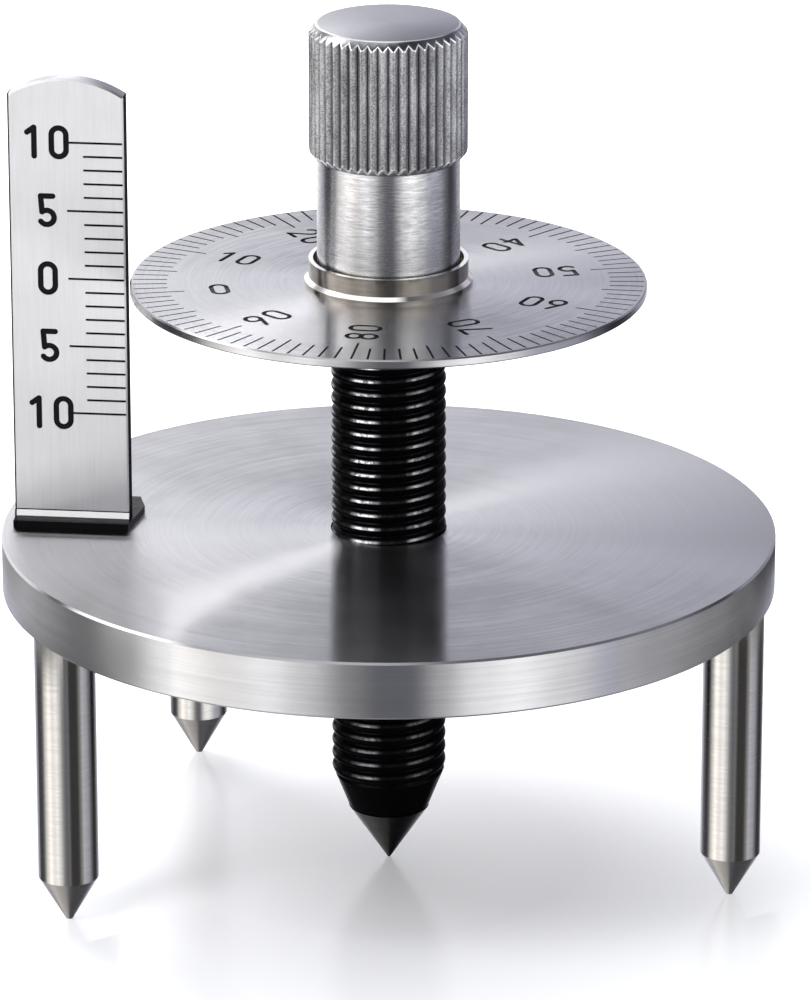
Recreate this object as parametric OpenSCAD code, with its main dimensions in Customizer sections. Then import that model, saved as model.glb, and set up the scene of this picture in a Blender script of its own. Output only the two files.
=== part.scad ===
// Spherometer. A round plate on three pointed legs carries a fine lead screw.
// A divided dial turns with the screw, and an upright scale counts its whole turns.
// Millimetres, +Z up. The origin is on the screw's axis, level with the leg tips.

/* [Base plate] */
// Diameter of the round base plate
base_d = 55.3; // [54.6:0.1:60]
// Thickness of the base plate
base_t = 4.1; // [3.8:0.1:7]
// Bevel turned on the two edges of the base plate
base_bevel = 0.15; // [0.1:0.05:0.5]

/* [Legs] */
// Diameter of the circle on which the three leg tips stand
leg_circle_d = 50.8; // [46:0.1:51]
// Diameter of a leg
leg_d = 4.3; // [3.2:0.1:4.4]
// Length of a leg from the plate's underside to its tip
leg_len = 21.4; // [19:0.1:26]
// Length of the cone at a leg's foot
leg_cone_len = 3.3; // [2:0.1:5]
// Diameter of the small flat on which a leg stands
leg_flat_d = 0.5; // [0.3:0.1:1.2]
// Diameter of the stud that holds a leg in the plate
leg_stud_d = 2.4; // [1.6:0.1:2.8]
// Length of that stud
leg_stud_len = 2.6; // [1.6:0.1:3.2]
// Where the left leg stands round the screw, in degrees
leg_left_angle = 206.6; // [200:0.1:215]
// Where the right leg stands round the screw, in degrees
leg_right_angle = 344.3; // [335:0.1:350]
// Where the rear leg stands round the screw, in degrees
leg_rear_angle = 124.7; // [115:0.1:135]

/* [Lead screw] */
// Outer diameter of the lead screw's thread
screw_d = 8.2; // [7.4:0.1:8.6]
// Pitch of the thread, which is one division of the upright scale
thread_pitch = 1.0; // [0.8:0.05:1.25]
// Depth of the thread
thread_depth = 0.42; // [0.25:0.01:0.5]
// Height of the cone between the thread and the measuring point
screw_cone_len = 3.05; // [2.4:0.05:4]
// Height of the plain land between that cone and the thread
cone_land = 0.2; // [0.1:0.05:0.5]
// Height of the plain neck between the thread and the dial's washer
neck_len = 1.0; // [0.6:0.1:3]
// Radial play of the screw in its nut
screw_play = 0.05; // [0.03:0.01:0.09]
// Diameter of the plain stem above the thread
stem_d = 6.0; // [5:0.1:6.4]
// Diameter of the stem's upper end, inside the knurled head
stem_end_d = 5.0; // [3.6:0.1:5]
// Length of the stem's upper end
stem_end_len = 6.6; // [4:0.1:7.5]

/* [Measuring point] */
// Height of the hardened point below the seam
point_len = 4.16; // [3.4:0.02:5]
// Diameter of the point at the seam
point_d = 5.8; // [5:0.1:6.6]
// Diameter of the flat on its very tip
point_flat_d = 0.2; // [0.1:0.05:0.5]
// Open seam between the point and the screw
point_seam = 0.1; // [0.05:0.01:0.2]
// Diameter of the spigot on which the point swivels
spigot_d = 2.6; // [2:0.1:3]
// Length of that spigot
spigot_len = 4.0; // [3.2:0.1:5]
// Radial play of the spigot in its bore
spigot_play = 0.04; // [0.02:0.01:0.08]
// Diameter of the wire of the ring that keeps the point in
ring_wire_d = 0.5; // [0.4:0.05:0.6]

/* [Lead nut] */
// Diameter of the nut's spigot in the base plate
nut_d = 12.0; // [11:0.1:12.4]
// Plate left over the nut
nut_web = 1.0; // [0.8:0.1:1.6]
// Diameter of the nut's flange
nut_flange_d = 19.0; // [18.4:0.1:22]
// Thickness of the nut's flange
nut_flange_t = 1.6; // [1.2:0.1:2]
// Length of the nut's nose below the flange
nut_nose_len = 1.8; // [1:0.1:2.4]
// Diameter of the circle of the nut's screws
nut_screw_circle_d = 15.6; // [15.4:0.1:15.8]

/* [Small screws] */
// Thread diameter of the small screws
small_screw_d = 1.4; // [1.2:0.1:1.6]
// Head diameter of the small screws
small_head_d = 2.6; // [2.2:0.1:2.8]
// Head height of the small screws
small_head_h = 0.8; // [0.6:0.1:1]
// Width of the slot in a screw's head
small_slot_w = 0.4; // [0.3:0.05:0.5]
// Depth of the slot in a screw's head
small_slot_depth = 0.35; // [0.2:0.05:0.45]
// Length of thread that a small screw has in the base plate
small_bite = 2.2; // [1.6:0.1:2.6]

/* [Dial] */
// Diameter of the divided dial
dial_d = 36.5; // [34:0.1:36.8]
// Thickness of the dial
dial_t = 0.65; // [0.5:0.05:1]
// Bevel on the dial's edges
dial_bevel = 0.1; // [0.05:0.01:0.15]
// Height of the dial's top over the base plate when it reads zero
dial_rise = 18.4; // [17:0.1:20]
// Number of divisions round the dial
dial_divisions = 100; // [50:10:100]
// Number of divisions from one number to the next
dial_number_step = 10; // [5:5:20]
// Angle by which the dial stands past its zero, in degrees
rest_turn = 11.9; // [0:0.1:20]
// Depth of every engraved mark
engrave_depth = 0.08; // [0.04:0.01:0.15]
// Width of an engraved division
tick_w = 0.16; // [0.1:0.01:0.25]
// Bare land between the divisions and the dial's edge
tick_land = 0.22; // [0.15:0.01:0.5]
// Length of a short division on the dial
dial_tick_short = 2.4; // [1.6:0.1:3]
// Length of every fifth division on the dial
dial_tick_mid = 2.9; // [2:0.1:3.4]
// Length of a numbered division on the dial
dial_tick_long = 3.5; // [2.4:0.1:3.8]
// Distance from the dial's edge to the middle of a number
dial_number_inset = 6.2; // [5.8:0.1:7]
// Height of the dial's figures
dial_figure_h = 2.4; // [1.8:0.1:2.8]
// Width of the dial's figures
dial_figure_w = 1.4; // [1.1:0.1:1.7]
// Stroke of the dial's figures
dial_stroke = 0.324; // [0.2:0.002:0.36]

/* [Dial mounting] */
// Diameter of the washer below the dial
washer_d = 10.6; // [9.4:0.1:14]
// Thickness of that washer
washer_t = 0.5; // [0.3:0.1:1]
// Outer diameter of the collar above the dial
collar_d = 11.3; // [10.8:0.1:12.4]
// Height of the collar
collar_h = 1.75; // [1.4:0.05:2.4]
// Wall of the collar's raised rim
collar_wall = 0.32; // [0.2:0.02:0.36]
// Thickness of the collar's floor, on which the barrel stands
collar_floor = 0.7; // [0.5:0.05:0.9]
// How far the collar's foot stands out
collar_foot_out = 0.3; // [0.1:0.05:0.6]
// Height of the collar's foot
collar_foot_h = 0.5; // [0.3:0.05:0.7]
// Diameter of the dowel that turns the dial with the barrel
dowel_d = 0.9; // [0.6:0.1:1]
// How far the dowel reaches into the barrel
dowel_bite = 1.2; // [0.6:0.1:2]

/* [Knob] */
// Diameter of the plain barrel
barrel_d = 10.1; // [9.6:0.1:10.2]
// Length of the barrel
barrel_len = 8.4; // [7:0.1:10]
// Diameter of the set screw in the back of the barrel
grub_d = 2.0; // [1.6:0.1:2.4]
// Diameter over the ridges of the knurled head
head_d = 11.15; // [10.6:0.05:13]
// Length of the knurled head
head_len = 9.7; // [9:0.1:12]
// Inward width of the bevel round the head's top
head_top_in = 0.54; // [0.4:0.02:0.8]
// Height of that bevel
head_top_h = 0.62; // [0.4:0.02:0.9]
// Inward width of the bevel round the head's lower edge
head_low_in = 0.5; // [0.3:0.02:0.7]
// Height of that bevel
head_low_h = 0.55; // [0.4:0.02:0.9]
// Number of ridges round the head
ridge_count = 46; // [36:1:56]
// Depth of the grooves between the ridges
ridge_depth = 0.3; // [0.15:0.01:0.34]

/* [Upright scale] */
// Width of the scale plate
scale_w = 8.3; // [7.6:0.1:8.4]
// Thickness of the scale plate
scale_t = 1.2; // [0.8:0.05:1.3]
// Height of the scale plate's two shoulders over the base plate
scale_h = 31.8; // [30.5:0.1:36]
// Radius of the arch on top of the scale plate
scale_arch_r = 7.6; // [6:0.1:14]
// Bevel round the front of the scale plate
scale_bevel = 0.16; // [0.08:0.01:0.25]
// Height of the flared lip along the scale plate's lower edge
scale_lip_h = 0.55; // [0.3:0.05:0.8]
// How far that lip stands out
scale_lip_out = 0.14; // [0.08:0.01:0.25]
// Where the scale plate stands round the screw, in degrees
scale_angle = 178.1; // [170:0.1:184]
// How far the scale plate is turned about its inner edge, in degrees
scale_turn = 4.4; // [0:0.1:8]
// Gap between the dial's edge and the scale plate
scale_gap = 0.2; // [0.15:0.01:0.6]
// Divisions above and below the scale's zero
scale_divisions = 10; // [5:5:10]
// Length of a short division on the scale
scale_tick_short = 2.95; // [2:0.05:3.2]
// Length of every fifth division on the scale
scale_tick_long = 4.15; // [3.4:0.05:4.4]
// Distance from the plate's inner edge to the middle of a single figure
scale_figure_inset = 5.6; // [5.4:0.05:5.8]
// Height of the scale's figures
scale_figure_h = 2.5; // [1.8:0.05:2.9]
// Width of the scale's figures
scale_figure_w = 1.45; // [1.1:0.05:1.6]
// Stroke of the scale's figures
scale_stroke = 0.41; // [0.2:0.01:0.42]

/* [Scale foot] */
// Thickness of the foot's sole, on which the scale plate stands
sole_t = 0.45; // [0.3:0.05:0.7]
// How far the sole reaches in front of the scale plate
sole_front = 0.9; // [0.4:0.1:1.2]
// Height of the foot's block behind the scale plate
foot_h = 2.1; // [1.8:0.1:2.4]
// Depth of the foot behind the scale plate
foot_depth = 4.0; // [3.4:0.1:4]
// How far the sole's nose reaches past the plate's inner edge
foot_nose = 0.6; // [0.2:0.1:1]
// How far the block stays short of the plate's two edges
foot_back = 0.9; // [0.7:0.1:1]
// Distance between the foot's two screws
foot_screw_pitch = 3.8; // [3.4:0.1:3.9]
// Diameter of the two pins that hold the plate to its foot
plate_pin_d = 0.8; // [0.5:0.05:0.9]
// How far the pins reach into the plate
plate_pin_bite = 0.6; // [0.3:0.05:0.65]

/* [Hidden] */
// Smoothness of round surfaces
$fn = 96;
// Overrun of every cutter past the face it cuts
over = 0.5;
// Clearance between pieces that are pressed or screwed together
fit = 0.02;
// Facets in one turn of the thread
thread_facets = 24;
// Radius of the neck, as a share of the thread's root
neck_share = 0.97;
// Share of the pitch that one flank of the thread takes
flank_share = 0.26;
// Share of a ridge's spacing that is flat on top
ridge_flat_share = 0.22;
// Space between two figures, as a share of a figure's width
figure_space_share = 0.3;
// Smoothness of a stroke's round ends
stroke_fn = 16;
// Number of screws that hold the nut
nut_screw_count = 3;
// First nut screw, in degrees
nut_screw_angle = 270;
// Where the dowel stands round the stem, in degrees
dowel_angle = 45;
// Where the set screw stands round the barrel, in degrees
grub_angle = 90;

// Heights, from the leg tips up
base_top = leg_len + base_t;
plate_low = base_top + sole_t;
lift = thread_pitch * rest_turn / 360;
point_seam_z = lift + point_len;
cone_low_z = point_seam_z + point_seam;
cone_top_z = cone_low_z + screw_cone_len;
scale_zero_z = base_top + dial_rise;
dial_top = scale_zero_z + lift;
dial_low = dial_top - dial_t;
shoulder_z = dial_low - washer_t;
barrel_low = dial_top + collar_floor;
barrel_top = barrel_low + barrel_len;
head_top = barrel_top + head_len;
stem_end_z = barrel_top + stem_end_len;

// Radii
screw_r = screw_d / 2;
root_r = screw_r - thread_depth;
neck_r = root_r * neck_share;
leg_r = leg_circle_d / 2;
dial_r = dial_d / 2;
scale_inner_r = dial_r + scale_gap;
dowel_r = (stem_d + barrel_d) / 4;
nut_bore_r = screw_r + screw_play;
nut_top = base_top - nut_web;
nut_screw_r = nut_screw_circle_d / 2;

// The groove for the ring that keeps the point in
ring_z = cone_low_z + spigot_len / 2;
ring_r = spigot_d / 2;
spigot_bore_r = spigot_d / 2 + spigot_play;
ring_groove_r = ring_wire_d / 2 + fit;

// The dial's zero has turned this far with the screw
dial_zero_angle = scale_angle + rest_turn;

// A turned disc or rod with a bevel on both edges
module bevelled(r, h, bevel) {
    rotate_extrude()
        polygon([[0, 0], [r - bevel, 0], [r, bevel], [r, h - bevel], [r - bevel, h], [0, h]]);
}

// A drill of radius r from z0 to z1
module drill(r, z0, z1) {
    translate([0, 0, z0]) cylinder(r = r, h = z1 - z0);
}

// Carries its children out from the screw's axis
module at_polar(angle, r) {
    rotate(angle) translate([r, 0, 0]) children();
}

// A slotted screw, its head's seat at z = 0 and its thread hanging down
module small_screw(reach) {
    drill(small_screw_d / 2, -reach, 0);
    difference() {
        cylinder(d = small_head_d, h = small_head_h);
        translate([-small_head_d / 2 - over, -small_slot_w / 2, small_head_h - small_slot_depth])
            cube([small_head_d + 2 * over, small_slot_w, small_slot_depth + over]);
    }
}

// One straight stroke of a figure, with round ends
module stroke(from, to, w) {
    run = to - from;
    translate(from) rotate(atan2(run.y, run.x)) translate([0, -w / 2]) square([norm(run), w]);
    for (end = [from, to]) translate(end) circle(d = w, $fn = stroke_fn);
}

// One bent stroke, whose middle runs at radius r from angle a0 to a1
module bend(r, w, a0, a1) {
    steps = 6;
    intersection() {
        difference() {
            circle(r = r + w / 2);
            circle(r = r - w / 2);
        }
        polygon(concat([[0, 0]], [for (k = [0:steps])
            let (a = a0 + (a1 - a0) * k / steps) 2 * (r + w / 2) * [cos(a), sin(a)]]));
    }
    for (a = [a0, a1]) translate(r * [cos(a), sin(a)]) circle(d = w, $fn = stroke_fn);
}

// A full ring of a figure
module ring(r, w) {
    difference() {
        circle(r = r + w / 2);
        circle(r = r - w / 2);
    }
}

// One plain figure, centred, fw wide and fh high, with strokes of width w
module figure(n, fw, fh, w) {
    a = (fw - w) / 2;
    b = (fh - w) / 2;
    if (n == 0) {
        for (side = [-1, 1]) {
            stroke([side * a, a - b], [side * a, b - a], w);
            translate([0, side * (b - a)]) bend(a, w, side * 90 - 90, side * 90 + 90);
        }
    }
    if (n == 1) {
        stroke([a / 4, -b], [a / 4, b], w);
        stroke([a / 4, b], [-a * 0.7, b - a * 0.7], w);
    }
    if (n == 2) {
        translate([0, b - a]) bend(a, w, -35, 170);
        stroke([a * cos(35), b - a - a * sin(35)], [-a, -b], w);
        stroke([-a, -b], [a, -b], w);
    }
    if (n == 3) {
        translate([0, b / 2]) bend(b / 2, w, -90, 150);
        translate([0, -b / 2]) bend(b / 2, w, -150, 90);
    }
    if (n == 4) {
        stroke([a * 0.45, -b], [a * 0.45, b], w);
        stroke([a * 0.45, b], [-a, -b * 0.35], w);
        stroke([-a, -b * 0.35], [a, -b * 0.35], w);
    }
    if (n == 5) {
        stroke([-a * 0.8, b], [a * 0.85, b], w);
        stroke([-a * 0.8, b], [a * cos(130), a - b + a * sin(130)], w);
        translate([0, a - b]) bend(a, w, -145, 130);
    }
    if (n == 6) {
        translate([0, a - b]) ring(a, w);
        stroke([-a * 0.92, a - b + a * 0.4], [a * 0.35, b], w);
    }
    if (n == 7) {
        stroke([-a, b], [a, b], w);
        stroke([a, b], [-a * 0.3, -b], w);
    }
    if (n == 8) {
        translate([0, a - b]) ring(a, w);
        translate([0, a]) ring(b - a, w);
    }
    if (n == 9) rotate(180) figure(6, fw, fh, w);
}

// A number of one or two figures, centred
module number(n, fw, fh, w) {
    shift = fw * (1 + figure_space_share) / 2;
    if (n < 10) {
        figure(n, fw, fh, w);
    } else {
        translate([-shift, 0]) figure(floor(n / 10), fw, fh, w);
        translate([shift, 0]) figure(n % 10, fw, fh, w);
    }
}

module leg(angle) {
    at_polar(angle, leg_r) {
        cylinder(d1 = leg_flat_d, d2 = leg_d, h = leg_cone_len);
        drill(leg_d / 2, leg_cone_len, leg_len);
        drill(leg_stud_d / 2, leg_len - over, leg_len + leg_stud_len);
    }
}

module base_plate() {
    color("silver") difference() {
        translate([0, 0, leg_len]) bevelled(base_d / 2, base_t, base_bevel);
        drill(nut_bore_r, leg_len - over, base_top + over);
        drill(nut_d / 2 + fit, leg_len - over, nut_top + fit);
        for (angle = [leg_left_angle, leg_right_angle, leg_rear_angle])
            at_polar(angle, leg_r)
                drill(leg_stud_d / 2 + fit, leg_len - over, leg_len + leg_stud_len + fit);
        for (k = [1:nut_screw_count])
            at_polar(nut_screw_angle + 360 * k / nut_screw_count, nut_screw_r)
                drill(small_screw_d / 2 + fit, leg_len - over, leg_len + small_bite + fit);
        at_foot_screws() drill(small_screw_d / 2 + fit, base_top - small_bite - fit, base_top + over);
    }
}

module leg_left() { color("lightgray") leg(leg_left_angle); }
module leg_right() { color("lightgray") leg(leg_right_angle); }
module leg_rear() { color("lightgray") leg(leg_rear_angle); }

module lead_nut() {
    flange_low = leg_len - nut_flange_t;
    color("goldenrod") difference() {
        union() {
            drill(nut_d / 2, leg_len - nut_flange_t / 2, nut_top);
            drill(nut_flange_d / 2, flange_low, leg_len);
            drill(nut_d / 2, flange_low - nut_nose_len, leg_len);
        }
        drill(nut_bore_r, flange_low - nut_nose_len - over, nut_top + over);
        for (k = [1:nut_screw_count])
            at_polar(nut_screw_angle + 360 * k / nut_screw_count, nut_screw_r)
                drill(small_screw_d / 2 + fit, flange_low - over, leg_len + over);
    }
}

module nut_screws() {
    color("dimgray") for (k = [1:nut_screw_count])
        at_polar(nut_screw_angle + 360 * k / nut_screw_count, nut_screw_r)
            translate([0, 0, leg_len - nut_flange_t]) rotate([180, 0, 0])
                small_screw(nut_flange_t + small_bite);
}

// Carries its children to the scale plate's inner edge, x outwards and y to the back
module at_scale() {
    rotate(scale_angle) mirror([0, 1, 0]) translate([scale_inner_r, 0, 0])
        rotate(scale_turn) children();
}

// Turns a drawing of the plate's front upright: x runs outwards, y up
module on_scale_front() {
    at_scale() translate([0, -scale_t / 2, 0]) rotate([90, 0, 0]) children();
}

// Height of the middle of the arch
arch_z = base_top + scale_h - sqrt(pow(scale_arch_r, 2) - pow(scale_w / 2, 2));

// The plate's outline, from the sole's top up
module scale_outline() {
    intersection() {
        translate([0, plate_low]) square([scale_w, scale_h + scale_arch_r]);
        union() {
            translate([0, plate_low]) square([scale_w, scale_h - sole_t]);
            translate([scale_w / 2, arch_z]) circle(r = scale_arch_r);
        }
    }
}

// The lip that flares out along the plate's lower edge
module scale_lip() {
    front = -scale_t / 2;
    at_scale() translate([0, 0, plate_low]) rotate([90, 0, 90]) linear_extrude(scale_w)
        polygon([[0, 0], [front - scale_lip_out, 0], [front - scale_lip_out, scale_lip_h / 4],
                 [front, scale_lip_h], [0, scale_lip_h]]);
}

// The plate's engraved divisions and figures, seen from the back of the drawing
module scale_marks() {
    for (k = [-scale_divisions:scale_divisions]) {
        long = k % 5 == 0;
        reach = long ? scale_tick_long : scale_tick_short;
        z = scale_zero_z + k * thread_pitch;
        translate([scale_bevel, z - tick_w / 2]) square([reach - scale_bevel, tick_w]);
        if (long) translate([scale_figure_inset, z]) mirror([1, 0])
            number(abs(k), scale_figure_w, scale_figure_h, scale_stroke);
    }
}

// Cuts the bevel along an upright front edge of the plate, above the lip
module edge_bevel() {
    side = scale_bevel * sqrt(2);
    rotate(45) translate([-side / 2, -side / 2, plate_low + scale_lip_h])
        cube([side, side, scale_h]);
}

// Cuts the bevel along the plate's arch. The other half of the circle is below the arch.
module arch_bevel() {
    on_scale_front() translate([scale_w / 2, arch_z, 0]) rotate_extrude(angle = 180)
        polygon([[scale_arch_r - scale_bevel, over / 2], [scale_arch_r - scale_bevel, 0],
                 [scale_arch_r, -scale_bevel], [scale_arch_r + over, -scale_bevel],
                 [scale_arch_r + over, over / 2]]);
}

module scale_plate() {
    color("gainsboro") difference() {
        union() {
            at_scale() translate([0, scale_t / 2, 0]) rotate([90, 0, 0])
                linear_extrude(scale_t) scale_outline();
            scale_lip();
        }
        on_scale_front() translate([0, 0, -engrave_depth])
            linear_extrude(engrave_depth + over) scale_marks();
        for (x = [0, scale_w]) at_scale() translate([x, -scale_t / 2, 0]) edge_bevel();
        arch_bevel();
        at_plate_pins() drill(plate_pin_d / 2 + fit, -plate_pin_bite - fit, over);
    }
}

// Middle of the foot's block, along the plate and behind it
foot_mid_x = scale_w / 2;
foot_mid_y = scale_t / 2 + foot_depth / 2;

module at_foot_screws() {
    at_scale() for (side = [-1, 1])
        translate([foot_mid_x + side * foot_screw_pitch / 2, foot_mid_y, 0]) children();
}

// Carries its children to the pins on the back of the plate, z to the back
module at_plate_pins() {
    pin_z = base_top + (sole_t + foot_h) / 2;
    at_scale() for (side = [-1, 1])
        translate([foot_mid_x + side * foot_screw_pitch / 4, scale_t / 2, pin_z])
            rotate([-90, 0, 0]) children();
}

// The sole in plan. Its nose shows past the plate's inner edge.
module sole() {
    back = scale_t / 2 + foot_depth;
    front = -scale_t / 2 - sole_front;
    polygon([[0, front], [-foot_nose, foot_mid_y], [0, back], [scale_w - foot_back, back],
             [scale_w, scale_t / 2], [scale_w, front]]);
}

module scale_foot() {
    color("dimgray") difference() {
        at_scale() translate([0, 0, base_top]) {
            linear_extrude(sole_t) sole();
            translate([foot_back, scale_t / 2, 0])
                cube([scale_w - 2 * foot_back, foot_depth, foot_h]);
        }
        at_foot_screws() drill(small_screw_d / 2 + fit, base_top - over, base_top + foot_h + over);
        at_plate_pins() drill(plate_pin_d / 2 + fit, -over, plate_pin_len + fit);
    }
}

// The pins stop before the screws that cross behind them
plate_pin_len = (foot_depth - small_screw_d) / 2;

module foot_screws() {
    color("black") at_foot_screws() translate([0, 0, base_top + foot_h])
        small_screw(foot_h + small_bite);
}

module plate_pins() {
    color("gray") at_plate_pins() drill(plate_pin_d / 2, -plate_pin_bite, plate_pin_len);
}

module measuring_point() {
    color("gray") difference() {
        union() {
            translate([0, 0, lift])
                cylinder(d1 = point_flat_d, d2 = point_d, h = point_len);
            drill(spigot_d / 2, point_seam_z - over, cone_low_z + spigot_len);
        }
        translate([0, 0, ring_z]) rotate_extrude()
            translate([ring_r, 0]) circle(r = ring_groove_r + spigot_play, $fn = stroke_fn);
    }
}

module point_ring() {
    color("silver") translate([0, 0, ring_z]) rotate_extrude()
        translate([ring_r + ring_wire_d / 4, 0]) circle(d = ring_wire_d / 2, $fn = stroke_fn);
}

// A helical thread from z = 0, with a plain round run of root radius past each end.
// It has three strips a turn: a flank up, a flat crest and a flank down to the next root.
module thread(turns, run_in, run_out) {
    f = thread_facets;
    last = turns * f;
    angle = 360 / f;
    climb = thread_pitch / f;
    function around(r, i, z) = [r * cos(angle * i), r * sin(angle * i), z];
    roots = [for (i = [0:last + f]) around(root_r, i, climb * i)];
    crests = [for (i = [0:last]) each [
        around(screw_r, i, climb * i + thread_pitch * flank_share),
        around(screw_r, i, climb * i + thread_pitch * (1 - flank_share))]];
    low_ring = [for (i = [0:f - 1]) around(root_r, i, -run_in)];
    top_ring = [for (i = [0:f - 1]) around(root_r, i, thread_pitch * (turns + 1) + run_out)];
    function crest_low(i) = len(roots) + 2 * i;
    function crest_top(i) = len(roots) + 2 * i + 1;
    function low(i) = len(roots) + len(crests) + i % f;
    function top(i) = len(roots) + len(crests) + f + i % f;
    ridge = [for (i = [0:last - 1]) each [
        [i, crest_low(i), crest_low(i + 1)],
        [i, crest_low(i + 1), i + 1],
        [crest_low(i), crest_top(i), crest_top(i + 1), crest_low(i + 1)],
        [crest_top(i), i + f, i + f + 1],
        [crest_top(i), i + f + 1, crest_top(i + 1)]]];
    blunt_ends = [[0, f, crest_top(0), crest_low(0)],
                  [last, crest_low(last), crest_top(last), last + f]];
    low_run = concat([for (i = [0:f - 2]) [low(i), i, i + 1, low(i + 1)]],
                     [for (pair = [[f - 1, f], [f, 0], [0, low(0)]]) [low(f - 1), pair[0], pair[1]]]);
    top_run = concat([for (pair = [[last, last + f], [last + f, top(0)], [top(0), top(1)]])
                         [last + 1, pair[0], pair[1]]],
                     [for (i = [1:f - 1]) [last + i, top(i), top(i + 1), last + i + 1]]);
    caps = [[for (i = [0:f - 1]) low(i)], [for (i = [0:f - 1]) top(f - 1 - i)]];
    polyhedron(concat(roots, crests, low_ring, top_ring),
               concat(ridge, blunt_ends, low_run, top_run, caps));
}

module lead_screw() {
    thread_len = shoulder_z - neck_len - cone_top_z;
    turns = floor(thread_len / thread_pitch) - 1;
    run_out = thread_len - thread_pitch * (turns + 1);
    color("#202022") difference() {
        union() {
            translate([0, 0, cone_top_z]) thread(turns, over, run_out);
            translate([0, 0, cone_low_z])
                cylinder(r1 = point_d / 2, r2 = screw_r, h = screw_cone_len - cone_land);
            drill(screw_r, cone_top_z - cone_land, cone_top_z);
            drill(neck_r, cone_top_z + over, shoulder_z);
            drill(stem_d / 2, shoulder_z - over, barrel_top);
            drill(stem_end_d / 2, barrel_top - over, stem_end_z);
        }
        drill(spigot_bore_r, cone_low_z - over, cone_low_z + spigot_len + point_seam);
        translate([0, 0, ring_z]) rotate_extrude()
            translate([ring_r + ring_wire_d / 4, 0])
                circle(d = ring_wire_d / 2 + 2 * fit, $fn = stroke_fn);
    }
}

module dial_washer() {
    color("silver") difference() {
        drill(washer_d / 2, shoulder_z, dial_low);
        drill(stem_d / 2 + fit, shoulder_z - over, dial_low + over);
    }
}

// The dial's engraved divisions and numbers
module dial_marks() {
    for (k = [0:dial_divisions - 1]) {
        numbered = k % dial_number_step == 0;
        reach = numbered ? dial_tick_long : k % 5 == 0 ? dial_tick_mid : dial_tick_short;
        rotate(dial_zero_angle - 360 * k / dial_divisions) {
            translate([dial_r - tick_land - reach, -tick_w / 2]) square([reach, tick_w]);
            if (numbered) translate([dial_r - dial_number_inset, 0]) rotate(180)
                number(k, dial_figure_w, dial_figure_h, dial_stroke);
        }
    }
}

module dial_disc() {
    color("lightgray") difference() {
        translate([0, 0, dial_low]) bevelled(dial_r, dial_t, dial_bevel);
        drill(stem_d / 2 + fit, dial_low - over, dial_top + over);
        at_polar(dowel_angle, dowel_r) drill(dowel_d / 2 + fit, dial_low - over, dial_top + over);
        translate([0, 0, dial_top - engrave_depth])
            linear_extrude(engrave_depth + over) dial_marks();
    }
}

module dial_dowel() {
    color("gray") at_polar(dowel_angle, dowel_r)
        drill(dowel_d / 2, dial_low, barrel_low + dowel_bite);
}

module dial_collar() {
    foot_r = collar_d / 2 + collar_foot_out;
    color("antiquewhite") difference() {
        union() {
            drill(collar_d / 2, dial_top, dial_top + collar_h);
            translate([0, 0, dial_top]) rotate_extrude() polygon([[0, 0], [foot_r, 0],
                [foot_r, collar_foot_h / 2], [collar_d / 2, collar_foot_h], [0, collar_foot_h]]);
        }
        drill(collar_d / 2 - collar_wall, barrel_low, dial_top + collar_h + over);
        drill(stem_d / 2 + fit, dial_top - over, barrel_low + over);
        at_polar(dowel_angle, dowel_r) drill(dowel_d / 2 + fit, dial_top - over, barrel_low + over);
    }
}

// The set screw bears on the stem and ends just below the barrel's surface
grub_z = (barrel_low + barrel_top) / 2;

module knob_barrel() {
    color("silver") difference() {
        drill(barrel_d / 2, barrel_low, barrel_top);
        drill(stem_d / 2 + fit, barrel_low - over, barrel_top + over);
        at_polar(dowel_angle, dowel_r)
            drill(dowel_d / 2 + fit, barrel_low - over, barrel_low + dowel_bite + fit);
        rotate(grub_angle) translate([0, 0, grub_z]) rotate([0, 90, 0])
            drill(grub_d / 2 + fit, stem_d / 4, barrel_d / 2 + over);
    }
}

module barrel_grub() {
    low = stem_d / 2 + fit;
    high = sqrt(pow(barrel_d / 2, 2) - pow(grub_d / 2, 2)) - fit;
    color("dimgray") rotate(grub_angle) translate([0, 0, grub_z]) rotate([0, 90, 0]) difference() {
        drill(grub_d / 2, low, high);
        drill(grub_d / 4, high - grub_d / 2, high + over, $fn = 6);
    }
}

// The ridges in plan, each with a flat crest and a pointed groove beside it
module ridges() {
    half = 360 / ridge_count / 2;
    polygon([for (k = [1:ridge_count]) each [
        head_d / 2 * [cos(2 * half * k - half * ridge_flat_share), sin(2 * half * k - half * ridge_flat_share)],
        head_d / 2 * [cos(2 * half * k + half * ridge_flat_share), sin(2 * half * k + half * ridge_flat_share)],
        (head_d / 2 - ridge_depth) * [cos(2 * half * k + half), sin(2 * half * k + half)]]]);
}

module knob_head() {
    r = head_d / 2;
    color("lightgray") difference() {
        intersection() {
            translate([0, 0, barrel_top - over]) linear_extrude(head_len + 2 * over) ridges();
            translate([0, 0, barrel_top]) rotate_extrude() polygon([[0, 0],
                [r - head_low_in, 0], [r, head_low_h], [r, head_len - head_top_h],
                [r - head_top_in, head_len], [0, head_len]]);
        }
        drill(stem_end_d / 2 + fit, barrel_top - over, stem_end_z + fit);
    }
}

base_plate();
leg_left();
leg_right();
leg_rear();
lead_nut();
nut_screws();
scale_plate();
scale_foot();
foot_screws();
plate_pins();
measuring_point();
point_ring();
lead_screw();
dial_washer();
dial_disc();
dial_dowel();
dial_collar();
knob_barrel();
barrel_grub();
knob_head();
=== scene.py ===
# %% [markdown]
# # A spherometer on a white table
#
# The frame holds every turned and milled piece at its real size, in metres.
# This script dresses them: how each surface was cut, polished, blackened and engraved.
# It also makes two shapes again, the lead screw's thread and the knob's knurl,
# because their solids in the frame have plain facets.

# %% Frame and size
import math

import bmesh
import bpy
from mathutils import Matrix, Vector


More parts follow.
